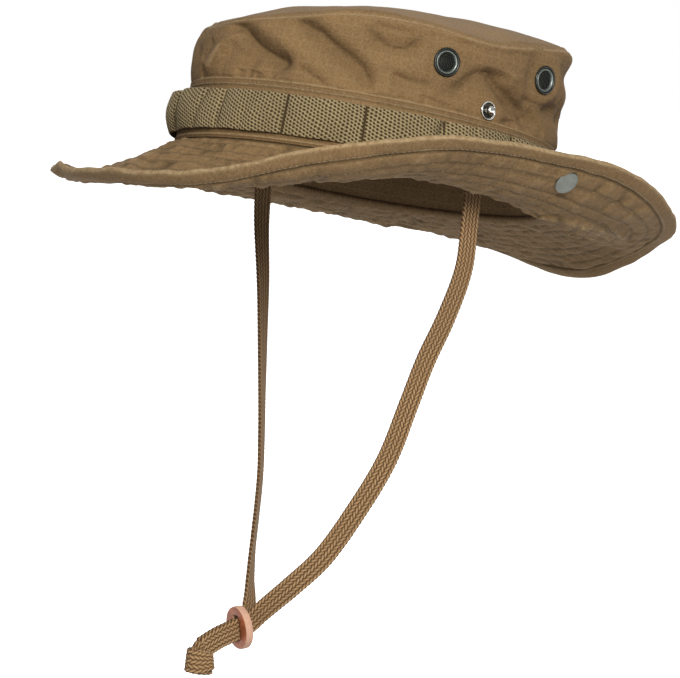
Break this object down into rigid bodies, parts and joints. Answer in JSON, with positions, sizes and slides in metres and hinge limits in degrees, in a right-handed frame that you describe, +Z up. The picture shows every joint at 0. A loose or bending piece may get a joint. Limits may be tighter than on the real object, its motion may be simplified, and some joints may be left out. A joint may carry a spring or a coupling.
{
  "type": "bush hat",
  "caption": "Soft bush hat in its worn shape, with a quilted brim, a band of webbing loops, screened vents, brim snaps and a flat chin lace with a leather slide.",
  "frame": {"origin": "middle of the head opening, on the seam between crown and brim, where the hat sits on a head", "axes": "+Z up as worn, -Y to the wearer's front, +X to the wearer's left; the worn hat leans back by 12 degrees"},
  "size_m": [0.2856, 0.3122, 0.3279],
  "materials": {
    "canvas": "washed coyote brown cotton ripstop, matt, paler along seams and edges",
    "webbing": "coarse open-weave cotton webbing, khaki",
    "braid": "flat braided lace",
    "slide_leather": "waxed face, pale raw cut edge",
    "black_metal": "black lacquer, satin",
    "bright_metal": "nickel plate",
    "brushed_metal": "dull nickel"
  },
  "bodies": {
    "root": {"crown_tip": "canvas", "crown_side": "canvas", "lower_band": "canvas", "foliage_band": "webbing", "brim": "canvas", "vent_left_front": "black_metal", "vent_left_back": "black_metal", "vent_right_front": "black_metal", "vent_right_back": "black_metal", "snap_stud_left": "bright_metal", "snap_stud_right": "bright_metal", "brim_snap_left": "brushed_metal", "brim_snap_right": "brushed_metal", "chin_lace_left": "braid", "chin_lace_right": "braid", "cord_slide": "slide_leather", "lace_knot": "braid"}
  },
  "joints": []
}
